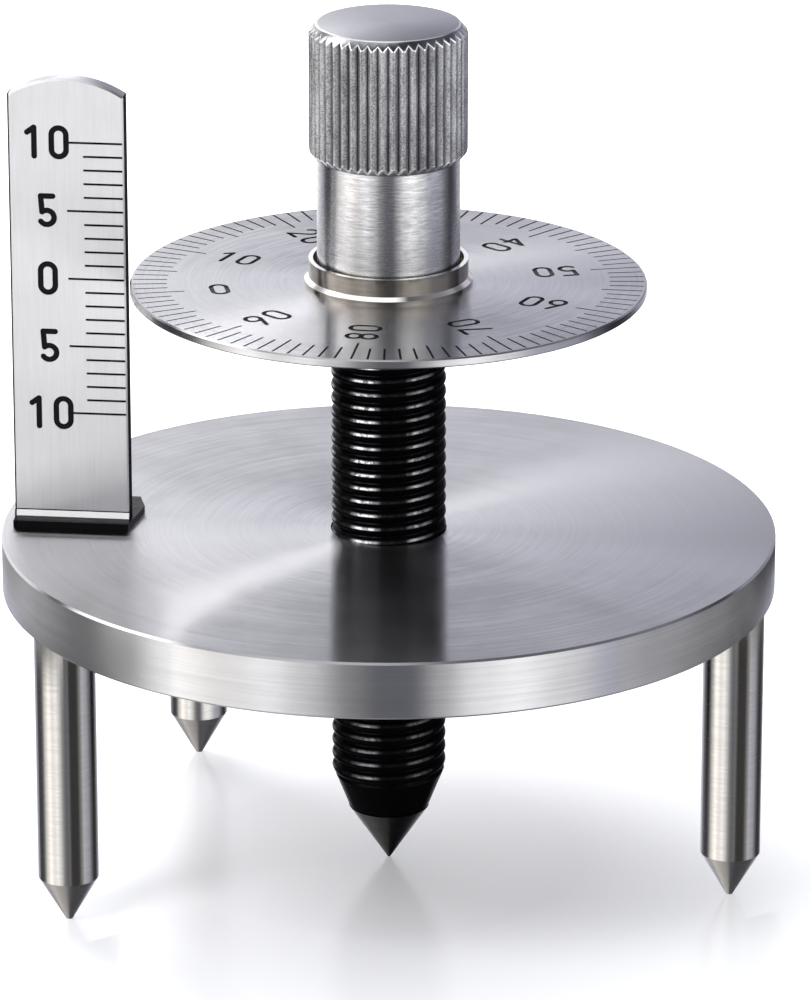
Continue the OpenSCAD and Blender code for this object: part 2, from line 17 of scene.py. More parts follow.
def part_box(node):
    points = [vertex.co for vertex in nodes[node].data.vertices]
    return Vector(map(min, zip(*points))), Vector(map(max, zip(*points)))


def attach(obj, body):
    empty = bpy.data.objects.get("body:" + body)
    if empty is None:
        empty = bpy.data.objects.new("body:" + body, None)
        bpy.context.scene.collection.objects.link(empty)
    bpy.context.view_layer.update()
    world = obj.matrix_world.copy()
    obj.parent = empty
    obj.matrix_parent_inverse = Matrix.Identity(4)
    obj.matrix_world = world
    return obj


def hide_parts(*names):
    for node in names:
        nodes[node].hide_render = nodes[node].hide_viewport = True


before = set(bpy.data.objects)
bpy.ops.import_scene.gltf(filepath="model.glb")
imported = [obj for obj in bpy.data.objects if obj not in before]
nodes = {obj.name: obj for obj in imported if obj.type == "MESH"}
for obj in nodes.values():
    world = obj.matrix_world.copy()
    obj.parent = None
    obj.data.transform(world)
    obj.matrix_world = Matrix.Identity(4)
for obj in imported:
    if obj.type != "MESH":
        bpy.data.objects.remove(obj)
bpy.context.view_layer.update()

MM = 0.001
MICRON = MM / 1000
print("pieces in the frame:", len(nodes))

# %% [markdown]
# ## The camera
#
# The ellipses of the plate and the dial give the height of the eye: 19 degrees above the table.
# A long lens from about half a metre keeps them almost parallel, as in the photograph.
# The lens is worked out from how many pixels a metre takes at the object.

# %% Camera
CAMERA_ELEVATION = math.radians(19.34)
CAMERA_DISTANCE = 460 * MM
LOOK_AT = Vector((1.2 * MM, 0, 27.5 * MM))
PHOTO_HEIGHT_PX = 1000
PX_PER_METRE = 14000
SENSOR_HEIGHT = 24

camera_data = bpy.data.cameras.new("camera")
camera_data.sensor_fit = "VERTICAL"
camera_data.sensor_height = SENSOR_HEIGHT
camera_data.lens = SENSOR_HEIGHT * CAMERA_DISTANCE * PX_PER_METRE / PHOTO_HEIGHT_PX
camera_data.clip_start = 10 * MM
camera = bpy.data.objects.new("camera", camera_data)
bpy.context.scene.collection.objects.link(camera)
towards_eye = Vector((0, -math.cos(CAMERA_ELEVATION), math.sin(CAMERA_ELEVATION)))
camera.location = LOOK_AT + CAMERA_DISTANCE * towards_eye
camera.rotation_euler = (math.pi / 2 - CAMERA_ELEVATION, 0, 0)
bpy.context.scene.camera = camera
bpy.context.scene.view_settings.view_transform = "Standard"
print("lens in mm:", round(camera_data.lens, 1))

# %% [markdown]
# ## A small kit for shader nodes
#
# Every finish below is a short chain of nodes. These helpers add one node and wire it,
# so that a recipe reads from top to bottom like the work in the shop.


# %% Node helpers
def new_material(name):
    """An empty node material, its tree and its surface shader."""
    material = bpy.data.materials.new(name)
    material.use_nodes = True
    tree = material.node_tree
    return material, tree, tree.nodes["Principled BSDF"]


def feed(tree, socket, value):
    """Wires another socket in, or writes a plain value there."""
    if isinstance(value, bpy.types.NodeSocket):
        tree.links.new(value, socket)
    else:
        socket.default_value = value


def math_node(tree, operation, first, second=0.0):
    """A Math node. Each input is a socket or a number."""
    node = tree.nodes.new("ShaderNodeMath")
    node.operation = operation
    feed(tree, node.inputs[0], first)
    feed(tree, node.inputs[1], second)
    return node.outputs[0]


def product(tree, *factors):
    """All the factors multiplied."""
    result = factors[0]
    for factor in factors[1:]:
        result = math_node(tree, "MULTIPLY", result, factor)
    return result


def total(tree, *parts):
    """All the parts added."""
    result = parts[0]
    for part in parts[1:]:
        result = math_node(tree, "ADD", result, part)
    return result


print("number helpers ready")

# %% [markdown]
# ### Directions
#
# A place or a direction travels through the nodes as a vector of three numbers,
# so it has helpers of its own.


# %% Vector helpers
def vector_node(tree, operation, first, second=(0, 0, 0)):
    """A Vector Math node. Each input is a socket or a vector."""
    node = tree.nodes.new("ShaderNodeVectorMath")
    node.operation = operation
    feed(tree, node.inputs[0], first)
    feed(tree, node.inputs[1], second)
    gives_number = operation in ("DOT_PRODUCT", "LENGTH")
    return node.outputs["Value" if gives_number else "Vector"]


def scaled(tree, vector, factor):
    """A vector made longer or shorter."""
    node = tree.nodes.new("ShaderNodeVectorMath")
    node.operation = "SCALE"
    feed(tree, node.inputs[0], vector)
    feed(tree, node.inputs["Scale"], factor)
    return node.outputs["Vector"]


def combine(tree, x, y, z):
    """A vector from three sockets or numbers."""
    node = tree.nodes.new("ShaderNodeCombineXYZ")
    for socket, value in zip(node.inputs, (x, y, z)):
        feed(tree, socket, value)
    return node.outputs[0]


print("vector helpers ready")

# %% [markdown]
# ### Unevenness
#
# No real surface is even. Noise gives the unevenness, a ramp says how much of it shows,
# and a colour mix or a bump brings it to the surface.


# %% Pattern helpers
def noise(tree, vector, scale, detail=3.0, roughness=0.5):
    """Noise from 0 to 1."""
    node = tree.nodes.new("ShaderNodeTexNoise")
    feed(tree, node.inputs["Vector"], vector)
    feed(tree, node.inputs["Scale"], scale)
    feed(tree, node.inputs["Detail"], detail)
    feed(tree, node.inputs["Roughness"], roughness)
    return node.outputs["Fac"]


def ramp(tree, value, low, high, to_low, to_high):
    """Maps a value from one range to another, clamped."""
    node = tree.nodes.new("ShaderNodeMapRange")
    feed(tree, node.inputs["Value"], value)
    feed(tree, node.inputs["From Min"], low)
    feed(tree, node.inputs["From Max"], high)
    feed(tree, node.inputs["To Min"], to_low)
    feed(tree, node.inputs["To Max"], to_high)
    return node.outputs["Result"]


def mix_colour(tree, factor, first, second):
    """Mixes two colours, each a socket or three numbers."""
    node = tree.nodes.new("ShaderNodeMix")
    node.data_type = "RGBA"
    feed(tree, node.inputs["Factor"], factor)
    for socket, colour in zip(node.inputs[6:8], (first, second)):
        feed(tree, socket, (*colour, 1) if isinstance(colour, tuple) else colour)
    return node.outputs[2]


def bump(tree, shader, height, distance):
    """Lets a height socket disturb the surface's normal."""
    node = tree.nodes.new("ShaderNodeBump")
    node.inputs["Strength"].default_value = 1.0
    node.inputs["Distance"].default_value = distance
    tree.links.new(height, node.inputs["Height"])
    tree.links.new(node.outputs["Normal"], shader.inputs["Normal"])


print("pattern helpers ready")

# %% [markdown]
# ### Where a point lies
#
# Most finishes ask the same few questions: how far up or across a point lies,
# how far from the screw's axis, and at what angle round it, counted from the front.

# %% Places
RIGHT = (1, 0, 0)
FRONT = (0, -1, 0)
UP = (0, 0, 1)


def object_point(tree):
    """The point on the piece, in its own coordinates."""
    return tree.nodes.new("ShaderNodeTexCoord").outputs["Object"]


def reach(tree, point, direction):
    """How far a point lies along a direction."""
    return vector_node(tree, "DOT_PRODUCT", point, direction)


def flattened(tree, point):
    """A point brought down to the table."""
    return vector_node(tree, "MULTIPLY", point, (1, 1, 0))


def axis_distance(tree, point):
    """Distance from the Z axis."""
    return vector_node(tree, "LENGTH", flattened(tree, point))


def front_angle(tree, point):
    """Angle round the Z axis, from the front towards the right."""
    return math_node(tree, "ARCTAN2", reach(tree, point, RIGHT), reach(tree, point, FRONT))


def surface_lean(tree):
    """1 where the surface faces up, 0 on an upright wall."""
    return reach(tree, tree.nodes.new("ShaderNodeNewGeometry").outputs["Normal"], UP)


print("place helpers ready")

# %% [markdown]
# ## Turned steel
#
# A lathe leaves rings round its axis. They are fine, uneven and long along the cut,
# so the noise is stretched: it runs slowly round the axis and fast across the rings.
# The ring pattern takes the sum of radius and height, which suits a face and a rim alike.
# The rings also stretch each highlight, which the shader's anisotropy gives,
# with its tangent running round the Z axis.


# %% Rings
def ring_pattern(tree, centre, rings_per_mm, run):
    """A place for noise that runs in rings round a vertical axis through centre."""
    point = vector_node(tree, "SUBTRACT", object_point(tree), (*centre, 0))
    along = scaled(tree, vector_node(tree, "NORMALIZE", flattened(tree, point)), run)
    across = total(tree, axis_distance(tree, point), reach(tree, point, UP))
    return vector_node(tree, "ADD", along, combine(tree, 0, 0, product(tree, across, rings_per_mm / MM)))


def round_tangent(tree, shader):
    """Grooves run round the Z axis, and a highlight stretches across them."""
    node = tree.nodes.new("ShaderNodeTangent")
    node.direction_type = "RADIAL"
    node.axis = "Z"
    tree.links.new(node.outputs["Tangent"], shader.inputs["Tangent"])
    shader.inputs["Anisotropic Rotation"].default_value = 0.25


print("ring helpers ready")

# %% [markdown]
# ### One recipe for every turned piece
#
# The rings make the steel a little darker and rougher in their valleys.
# Handling adds broad dull marks on the big faces, and a small bump lets the rings catch the light.

# %% Turned steel
FINE_SHARE = 0.82
SMUDGES_PER_MM = 0.16
SMUDGE_ROUGHNESS = 0.3


def turned_steel(name, colour, centre=(0, 0), rings_per_mm=5.0, run=2.0,
                 rough=(0.2, 0.36), stretch=0.85, groove=0.6 * MICRON, dull=0.86, smudge=0.0):
    """Steel off the lathe, round a vertical axis through centre. Smudge is the share of handling marks."""
    material, tree, shader = new_material(name)
    rings = ring_pattern(tree, centre, rings_per_mm, run)
    fine = noise(tree, rings, 1.0, 4.0, 0.65)
    broad = noise(tree, rings, 0.17, 2.0)
    streak = total(tree, product(tree, fine, FINE_SHARE), product(tree, broad, 1 - FINE_SHARE))
    darker = tuple(c * dull for c in colour)
    tone = mix_colour(tree, ramp(tree, streak, 0.3, 0.7, 0, 1), darker, colour)
    cloud = noise(tree, object_point(tree), SMUDGES_PER_MM / MM, 5.0, 0.62)
    marks = ramp(tree, cloud, 0.4, 0.75, 0, smudge)
    tone = mix_colour(tree, marks, tone, tuple(0.5 * c for c in colour))
    tree.links.new(tone, shader.inputs["Base Color"])
    matt = ramp(tree, streak, 0.25, 0.75, rough[1], rough[0])
    matt = total(tree, matt, product(tree, marks, SMUDGE_ROUGHNESS))
    tree.links.new(matt, shader.inputs["Roughness"])
    shader.inputs["Metallic"].default_value = 1.0
    shader.inputs["Anisotropic"].default_value = stretch
    round_tangent(tree, shader)
    bump(tree, shader, fine, groove)
    return material


def dress(name, material):
    """Gives a frame node its finish."""
    for slot in nodes[name].material_slots:
        slot.material = material
    print(name, "->", material.name)


def middle(name):
    """Centre of a node in plan."""
    low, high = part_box(name)
    return ((low[0] + high[0]) / 2, (low[1] + high[1]) / 2)


print("turned steel ready")

# %% [markdown]
# ### Plate, legs, barrel and collar
#
# The plate has the smoothest cut and shows one long highlight across its rings.
# The legs are a little warmer, the barrel has a coarse, streaky cut, and the collar is polished nickel.
# Small hidden screws, pins and washers come off the same lathe.

# %% Turned pieces
STEEL = (0.56, 0.56, 0.575)
WARM_STEEL = (0.6, 0.585, 0.565)
BARREL_STEEL = (0.76, 0.76, 0.775)
NICKEL = (0.47, 0.43, 0.38)
BRASS = (0.72, 0.53, 0.27)

dress("base_plate", turned_steel("turned_base", STEEL, rings_per_mm=6.0, run=1.8, rough=(0.18, 0.25),
                                 stretch=1.0, groove=0.3 * MICRON, dull=0.9, smudge=0.14))
for leg in ("leg_left", "leg_right", "leg_rear"):
    dress(leg, turned_steel("turned_" + leg, WARM_STEEL, middle(leg), 7.0, 1.2, rough=(0.16, 0.3)))
dress("knob_barrel", turned_steel("turned_barrel", BARREL_STEEL, rings_per_mm=9.0, run=5.0, rough=(0.14, 0.4),
                                  stretch=0.95, groove=1.8 * MICRON, dull=0.54))
nickel = turned_steel("polished_nickel", NICKEL, rings_per_mm=8.0, run=1.0,
                      rough=(0.08, 0.16), stretch=0.4, groove=0.1 * MICRON, dull=0.7)
dress("dial_collar", nickel)
dress("lead_nut", turned_steel("machined_brass", BRASS, rings_per_mm=6.0))
for small in ("nut_screws", "plate_pins", "point_ring", "dial_washer", "dial_dowel", "barrel_grub"):
    dress(small, turned_steel("machined_" + small, STEEL, middle(small), 6.0))

# %% [markdown]
# ### The collar's edges
#
# Polishing rounds the collar's edges, and a painted highlight makes them its brightest part:
# the bright colour goes only on the edges that lean upwards and on the narrow top rim. An edge is where the
# surface leans, neither upright nor level.

# %% Collar edges
BURNISHED_HIGHLIGHT = (0.97, 0.95, 0.91)
RIM_BAND = (0.15 * MM, 0.05 * MM)

tree = nickel.node_tree
shader = tree.nodes["Principled BSDF"]
lean = surface_lean(tree)
collar_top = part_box("dial_collar")[1][2]
height = reach(tree, object_point(tree), UP)
top_rim = ramp(tree, height, collar_top - RIM_BAND[0], collar_top - RIM_BAND[1], 0, 1)
not_level = math_node(tree, "MAXIMUM", ramp(tree, lean, 0.9, 0.98, 1, 0), top_rim)
# Painted highlight: the upward-leaning edges and the top rim get a near-white colour.
edge_highlight = product(tree, ramp(tree, lean, 0.15, 0.4, 0, 1), not_level)
wall = shader.inputs["Base Color"].links[0].from_socket
tree.links.new(mix_colour(tree, edge_highlight, wall, BURNISHED_HIGHLIGHT), shader.inputs["Base Color"])
print("collar edges burnished")

# %% [markdown]
# ## Engraved and blackened marks
#
# The divisions and figures are cut into the frame's solids, a few hundredths of a millimetre deep.
# The paint is rubbed into the cuts and wiped off the face, so it lies only on their floors.
# A depth below the face therefore tells the paint from the steel.

# %% Filled engraving
BLACK_PAINT = (0.01, 0.01, 0.011)
PAINT_ROUGHNESS = 0.45
ENGRAVED = 0.08 * MM
FLOOR_BAND = 0.02 * MM


def add_paint(material, inside):
    """Blackens a steel material where the inside socket is 1."""
    tree = material.node_tree
    shader = tree.nodes["Principled BSDF"]
    steel = shader.inputs["Base Color"].links[0].from_socket
    rough = shader.inputs["Roughness"].links[0].from_socket
    tree.links.new(mix_colour(tree, inside, steel, BLACK_PAINT), shader.inputs["Base Color"])
    metal = math_node(tree, "SUBTRACT", 1.0, inside)
    tree.links.new(metal, shader.inputs["Metallic"])
    matt = total(tree, product(tree, rough, metal), product(tree, inside, PAINT_ROUGHNESS))
    tree.links.new(matt, shader.inputs["Roughness"])
    shader.inputs["Specular IOR Level"].default_value = 0.08


print("paint ready")

# %% [markdown]
# ### The dial
#
# The dial has the plate's finish. Its divisions stop just inside the rim, so the rim itself stays steel.

# %% Dial
RIM_MARGIN = 0.2 * MM

dial_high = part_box("dial_disc")[1]
dial_steel = turned_steel("engraved_dial", STEEL, rings_per_mm=5.0, run=2.2, rough=(0.15, 0.25), stretch=1.0,
                          dull=0.84, smudge=0.16)
tree = dial_steel.node_tree
point = object_point(tree)
height = reach(tree, point, UP)
floor_z = dial_high[2] - ENGRAVED
sunk = math_node(tree, "LESS_THAN", height, floor_z + FLOOR_BAND)
above = math_node(tree, "GREATER_THAN", height, floor_z - FLOOR_BAND)
inner = math_node(tree, "LESS_THAN", axis_distance(tree, point), dial_high[0] - RIM_MARGIN)
add_paint(dial_steel, product(tree, sunk, above, inner))
dress("dial_disc", dial_steel)

# %% [markdown]
# ## The upright scale
#
# The scale plate is flat stock, brushed along its length and a little brighter than the base plate.
# The brush lines run upwards, so they spread each highlight sideways.

# %% Brushed steel
SCALE_STEEL = (0.93, 0.93, 0.96)
BRUSH_ACROSS = 6.0 / MM
BRUSH_ALONG = 0.25 / MM
BRUSH_SHARE = 0.6


def brushed_steel(name, colour):
    """Steel brushed in straight lines that run upwards."""
    material, tree, shader = new_material(name)
    point = object_point(tree)
    lines = vector_node(tree, "MULTIPLY", point, (BRUSH_ACROSS, BRUSH_ACROSS, BRUSH_ALONG))
    fine = noise(tree, lines, 1.0, 3.0, 0.6)
    cloud = noise(tree, point, 0.2 / MM, 2.0)
    streak = total(tree, product(tree, fine, BRUSH_SHARE), product(tree, cloud, 1 - BRUSH_SHARE))
    darker = tuple(c * 0.9 for c in colour)
    tone = mix_colour(tree, ramp(tree, streak, 0.3, 0.7, 0, 1), darker, colour)
    tree.links.new(tone, shader.inputs["Base Color"])
    tree.links.new(ramp(tree, streak, 0.25, 0.75, 0.42, 0.36), shader.inputs["Roughness"])
    shader.inputs["Metallic"].default_value = 1.0
    shader.inputs["Anisotropic"].default_value = 1.0
    shader.inputs["Anisotropic Rotation"].default_value = 0.25
    tree.links.new(combine(tree, *UP), shader.inputs["Tangent"])
    bump(tree, shader, fine, 0.3 * MICRON)
    return material


scale_steel = brushed_steel("brushed_scale", SCALE_STEEL)
print("brushed steel ready")

# %% [markdown]
# ### Its marks and dark edges
#
# The plate stands on a line through the screw, turned by a few degrees from the front,
# so depth is measured along its own back and width along its own face.
# The paint is worn thin close to the outer edge, which is the left one in the photograph.
# The two narrow sides carry a painted dark reflection, and the crease above the lip a painted shade.

# %% Scale plate
SCALE_ANGLE = math.radians(178.1)
SCALE_TURN = math.radians(4.4)
SCALE_THICKNESS = 1.2 * MM
SCALE_BEVEL = 0.16 * MM
SCALE_INNER = 18.45 * MM
SCALE_WIDTH = 8.3 * MM
MARKS_LOW = 30 * MM
MARKS_HIGH = 56 * MM
WORN_BAND = (1.25 * MM, 1.05 * MM)
LIP_TOP = 26.5 * MM
CREASE_SHADE_HEIGHT = 0.09 * MM

facing = SCALE_ANGLE - SCALE_TURN
scale_out = (math.cos(facing), math.sin(facing), 0)
scale_back = (math.sin(facing), -math.cos(facing), 0)
scale_edge = (SCALE_INNER * math.cos(SCALE_ANGLE), SCALE_INNER * math.sin(SCALE_ANGLE), 0)
floor_depth = ENGRAVED - SCALE_THICKNESS / 2

tree = scale_steel.node_tree
point = vector_node(tree, "SUBTRACT", object_point(tree), scale_edge)
depth = reach(tree, point, scale_back)
outward = reach(tree, point, scale_out)
height = reach(tree, point, UP)
paint_and_shade = product(
    tree,
    ramp(tree, outward, SCALE_WIDTH - WORN_BAND[0], SCALE_WIDTH - WORN_BAND[1], 1, 0.45),
    math_node(tree, "GREATER_THAN", depth, floor_depth - FLOOR_BAND),
    math_node(tree, "LESS_THAN", depth, floor_depth + FLOOR_BAND),
    math_node(tree, "GREATER_THAN", outward, SCALE_BEVEL + 0.01 * MM),
    math_node(tree, "LESS_THAN", outward, SCALE_WIDTH - SCALE_BEVEL),
    math_node(tree, "LESS_THAN", height, MARKS_HIGH),
    math_node(tree, "GREATER_THAN", height, MARKS_LOW))
# Painted dark reflection on both narrow sides, and painted shade in the crease above the lip.
outer_side_shade = math_node(tree, "GREATER_THAN", outward, SCALE_WIDTH - 0.8 * SCALE_BEVEL)
inner_side_shade = math_node(tree, "LESS_THAN", outward, 0.3 * SCALE_BEVEL)
crease_shade = product(tree, math_node(tree, "GREATER_THAN", height, LIP_TOP),
                 math_node(tree, "LESS_THAN", height, LIP_TOP + CREASE_SHADE_HEIGHT))
for dark in (outer_side_shade, inner_side_shade, crease_shade):
    paint_and_shade = math_node(tree, "MAXIMUM", paint_and_shade, dark)
add_paint(scale_steel, paint_and_shade)
dress("scale_plate", scale_steel)

# %% [markdown]
# ## Blackened steel
#
# The lead screw, its point and the scale's foot are black oxide under a film of oil.
# The oxide is dark and a little uneven, and the oil leaves only a thin gloss.

# %% Black oxide
BLACK_OXIDE = (0.002, 0.002, 0.0024)


def black_oxide(name, rough=0.12, gloss=0.05, index=1.5):
    """Blackened steel, oiled."""
    material, tree, shader = new_material(name)
    point = object_point(tree)
    cloud = noise(tree, point, 1.4 / MM, 4.0, 0.6)
    grain = noise(tree, point, 9.0 / MM, 2.0)
    tone = mix_colour(tree, cloud, BLACK_OXIDE, tuple(2.2 * c for c in BLACK_OXIDE))
    tree.links.new(tone, shader.inputs["Base Color"])
    tree.links.new(ramp(tree, cloud, 0.3, 0.7, rough - 0.06, rough + 0.1), shader.inputs["Roughness"])
    shader.inputs["Metallic"].default_value = 0.0
    shader.inputs["Specular IOR Level"].default_value = gloss
    shader.inputs["IOR"].default_value = index
    bump(tree, shader, grain, 0.8 * MICRON)
    return material


screw_black = black_oxide("oiled_black_screw", index=1.2)
point_black = black_oxide("oiled_black_point", 0.2, 0.2)
foot_black = black_oxide("black_foot", 0.3, 0.1)
dress("measuring_point", point_black)
dress("scale_foot", foot_black)
dress("foot_screws", foot_black)

# %% [markdown]
# ### Worn crests and painted glints
#
# The nut rubs the black off the upper flank of each crest, so bare steel shows there.
# How much shows is a painted highlight: it comes in six short dashes round the screw with dark gaps between
# them, it is strongest on one side, and it is painted weaker low down, a painted shade where the screw stands
# in the plate's shade.

# %% Worn crests and painted glints
SCREW_RADIUS = 4.1 * MM
GLINT_RUNS = 6
RUN_START = math.radians(25)
BARE_STEEL = (0.75, 0.75, 0.8)
WORN_DEPTH = (0.2 * MM, 0.06 * MM)
SHADED = (19 * MM, 22 * MM)
THREAD_END = (6.6 * MM, 7.0 * MM)

tree = screw_black.node_tree
shader = tree.nodes["Principled BSDF"]
point = object_point(tree)
height = reach(tree, point, UP)
radius = axis_distance(tree, point)
lean = surface_lean(tree)
turned = total(tree, front_angle(tree, point), RUN_START)
runs = math_node(tree, "COSINE", product(tree, turned, GLINT_RUNS))
glint_side = math_node(tree, "COSINE", turned)
# Bare steel on the worn crests; its strength round and up the screw is a painted highlight and a painted
# shade.
wear_and_glint = product(
    tree,
    ramp(tree, lean, 0.05, 0.2, 0, 1),
    ramp(tree, lean, 0.42, 0.6, 1, 0),
    ramp(tree, radius, SCREW_RADIUS - WORN_DEPTH[0], SCREW_RADIUS - WORN_DEPTH[1], 0.08, 1),
    ramp(tree, noise(tree, point, 2.5 / MM, 2.0, 0.6), 0.38, 0.55, 0.4, 1),
    ramp(tree, runs, -0.3, 0.7, 0.04, 1),
    ramp(tree, glint_side, 0.3, 1, 0.3, 1),
    ramp(tree, height, *SHADED, 0.45, 1),
    ramp(tree, height, *THREAD_END, 0, 1))
oxide = shader.inputs["Base Color"].links[0].from_socket
tree.links.new(mix_colour(tree, wear_and_glint, oxide, BARE_STEEL), shader.inputs["Base Color"])
tree.links.new(wear_and_glint, shader.inputs["Metallic"])
print("crests worn between", GLINT_RUNS, "runs of oil")

# %% [markdown]
# ## Shapes in hand
#
# A new shape is a bmesh, which is held in memory while operators work on it.
# Most operators ask for the points, edges and faces to work on.
# At the end the bmesh becomes an object, which stays at the origin as the frame's own objects do.


# %% Shape helpers
def whole(shape):
    """Every point, edge and face of a bmesh."""
    return shape.verts[:] + shape.edges[:] + shape.faces[:]


def only(kind, items):
    """The items of one kind."""
    return [item for item in items if isinstance(item, kind)]


def finished(name, shape):
    """Turns a bmesh into an object at the origin."""
    mesh = bpy.data.meshes.new(name)
    shape.to_mesh(mesh)
    shape.free()
    piece = bpy.data.objects.new(name, mesh)
    bpy.context.scene.collection.objects.link(piece)
    return piece


print("shape helpers ready")

# %% [markdown]
# ## The lead screw
#
# A thread is one profile carried round the axis while it climbs one pitch a turn.
# The spin operator does exactly that when it is given a climb for each step.
# The profile has a rounded crest and a narrow root, as on the real screw.
# One turn is made, and copies of it are stacked, which doubles the length each time.

# %% Thread
THREAD_DEPTH = 0.42 * MM
CREST_FULLNESS = 0.6
CREST_POINTS = 9
PITCH = 1.0 * MM
STEPS_PER_TURN = 96
SCREW_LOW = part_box("lead_screw")[0][2]
WASHER_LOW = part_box("dial_washer")[0][2]
NECK_HEIGHT = 1.0 * MM

thread_low = SCREW_LOW - 2 * PITCH
thread_high = WASHER_LOW - NECK_HEIGHT
turns = math.ceil((thread_high - thread_low) / PITCH) + 1

screw = bmesh.new()
profile = []
for k in range(CREST_POINTS + 1):
    share = k / CREST_POINTS
    crest = THREAD_DEPTH * abs(math.sin(math.pi * share)) ** CREST_FULLNESS
    profile.append(screw.verts.new((SCREW_RADIUS - THREAD_DEPTH + crest, 0, thread_low + share * PITCH)))
edges = [screw.edges.new(pair) for pair in zip(profile, profile[1:])]
bmesh.ops.spin(screw, geom=profile + edges, cent=(0, 0, 0), axis=UP, dvec=(0, 0, PITCH / STEPS_PER_TURN),
               angle=math.tau, steps=STEPS_PER_TURN, use_duplicate=False)
made = 1
while made < turns:
    copy = bmesh.ops.duplicate(screw, geom=whole(screw))["geom"]
    bmesh.ops.translate(screw, verts=only(bmesh.types.BMVert, copy), vec=(0, 0, made * PITCH))
    made = 2 * made
bmesh.ops.remove_doubles(screw, verts=screw.verts[:], dist=0.002 * MM)
print("thread faces:", len(screw.faces))

# %% [markdown]
# ### The screw's two ends
#
# The stack of turns is longer than the screw. Two planes cut it to length, and each cut is closed.
# Then every point is held inside the screw's envelope: the cone below and the plain neck above.

# %% Envelope of the screw
CONE_HEIGHT = 3.05 * MM
CONE_LOW_RADIUS = 2.9 * MM
NECK_RADIUS = 3.57 * MM


def envelope(z):
    """Greatest radius of the screw at height z."""
    cone = CONE_LOW_RADIUS + (SCREW_RADIUS - CONE_LOW_RADIUS) * (z - SCREW_LOW) / CONE_HEIGHT
    if z > thread_high:
        return NECK_RADIUS
    return min(cone, SCREW_RADIUS)


for end, up in ((SCREW_LOW, -1), (WASHER_LOW, 1)):
    cut = bmesh.ops.bisect_plane(screw, geom=whole(screw), plane_co=(0, 0, end), plane_no=(0, 0, up),
                                 clear_outer=True)
    bmesh.ops.contextual_create(screw, geom=only(bmesh.types.BMEdge, cut["geom_cut"]))
for vertex in screw.verts:
    flat = Vector((vertex.co.x, vertex.co.y, 0))
    limit = envelope(vertex.co.z)
    if flat.length > limit:
        flat.length = limit
        vertex.co.x = flat.x
        vertex.co.y = flat.y
bmesh.ops.recalc_face_normals(screw, faces=screw.faces[:])

lead_screw = finished("cut_thread", screw)
lead_screw.data.shade_smooth()
lead_screw.data.materials.append(screw_black)
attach(lead_screw, "spindle")
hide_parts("lead_screw")
print("screw:", len(lead_screw.data.vertices), "points")

# %% [markdown]
# ## The knurled head
#
# The head is a turned blank with straight ridges cut along it, then chamfered above and below.
# Where a chamfer meets the ridges it leaves a zigzag of small bright edges, which catch the light.
# One ridge is made as a thin wedge that is cut by the two chamfer planes.
# Its inner walls go, because the next ridge closes it there.

# %% One ridge
HEAD_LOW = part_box("knob_head")[0][2]
HEAD_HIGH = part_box("knob_head")[1][2]
HEAD_RADIUS = 5.575 * MM
RIDGES = 46
RIDGE_DEPTH = 0.3 * MM
RIDGE_FLAT = 0.22
TOP_CHAMFER = (0.54 * MM, 0.62 * MM)
LOW_CHAMFER = (0.5 * MM, 0.55 * MM)
AT_AXIS = 0.01 * MM

half = math.pi / RIDGES
outline = ((0, 0), (HEAD_RADIUS - RIDGE_DEPTH, -half), (HEAD_RADIUS, -RIDGE_FLAT * half),
           (HEAD_RADIUS, RIDGE_FLAT * half), (HEAD_RADIUS - RIDGE_DEPTH, half))
ridge = bmesh.new()
corners = [ridge.verts.new((r * math.cos(a), r * math.sin(a), HEAD_LOW)) for r, a in outline]
grown = bmesh.ops.extrude_face_region(ridge, geom=[ridge.faces.new(corners)])["geom"]
bmesh.ops.translate(ridge, verts=only(bmesh.types.BMVert, grown), vec=(0, 0, HEAD_HIGH - HEAD_LOW))
for end, up, (inward, down) in ((HEAD_HIGH, 1, TOP_CHAMFER), (HEAD_LOW, -1, LOW_CHAMFER)):
    cut = bmesh.ops.bisect_plane(ridge, geom=whole(ridge), plane_co=(HEAD_RADIUS - inward, 0, end),
                                 plane_no=(down, 0, up * inward), clear_outer=True)
    bmesh.ops.contextual_create(ridge, geom=only(bmesh.types.BMEdge, cut["geom_cut"]))
bmesh.ops.recalc_face_normals(ridge, faces=ridge.faces[:])
walls = [f for f in ridge.faces if sum(v.co.xy.length < AT_AXIS for v in f.verts) > 1]
bmesh.ops.delete(ridge, geom=walls, context="FACES_ONLY")
print("one ridge:", len(ridge.faces), "faces")

# %% [markdown]
# ### All the ridges
#
# The ridge's sharp edges are rounded, and each face is told which finish it will get.
# Turned copies of it then close the whole round.

# %% All the ridges
EDGE_ROUND = 0.08 * MM
SHARP = 0.3
CHAMFER_ZONE = 0.75 * MM
ON_RIDGE = 0
ON_END = 1
ON_EDGE = 2
ON_CHAMFER = 3

sharp = [e for e in ridge.edges if len(e.link_faces) == 2 and e.calc_face_angle() > SHARP]
rounded = bmesh.ops.bevel(ridge, geom=sharp, offset=EDGE_ROUND, segments=2, profile=0.5,
                          affect="EDGES", material=-1)["faces"]
for face in ridge.faces:
    level = abs(face.normal.z)
    face.smooth = level < 0.4
    if level > 0.9:
        face.material_index = ON_END
    elif level > 0.4:
        face.material_index = ON_CHAMFER
for face in rounded:
    place = face.calc_center_median().z
    near_end = min(HEAD_HIGH - place, place - HEAD_LOW) < CHAMFER_ZONE
    face.smooth = True
    face.material_index = ON_EDGE if near_end else ON_RIDGE
bmesh.ops.spin(ridge, geom=whole(ridge), cent=(0, 0, 0), axis=UP, angle=math.tau * (RIDGES - 1) / RIDGES,
               steps=RIDGES - 1, use_duplicate=True)
bmesh.ops.remove_doubles(ridge, verts=ridge.verts[:], dist=0.003 * MM)
loose = [e for e in ridge.edges if not e.link_faces]
bmesh.ops.delete(ridge, geom=loose, context="EDGES")
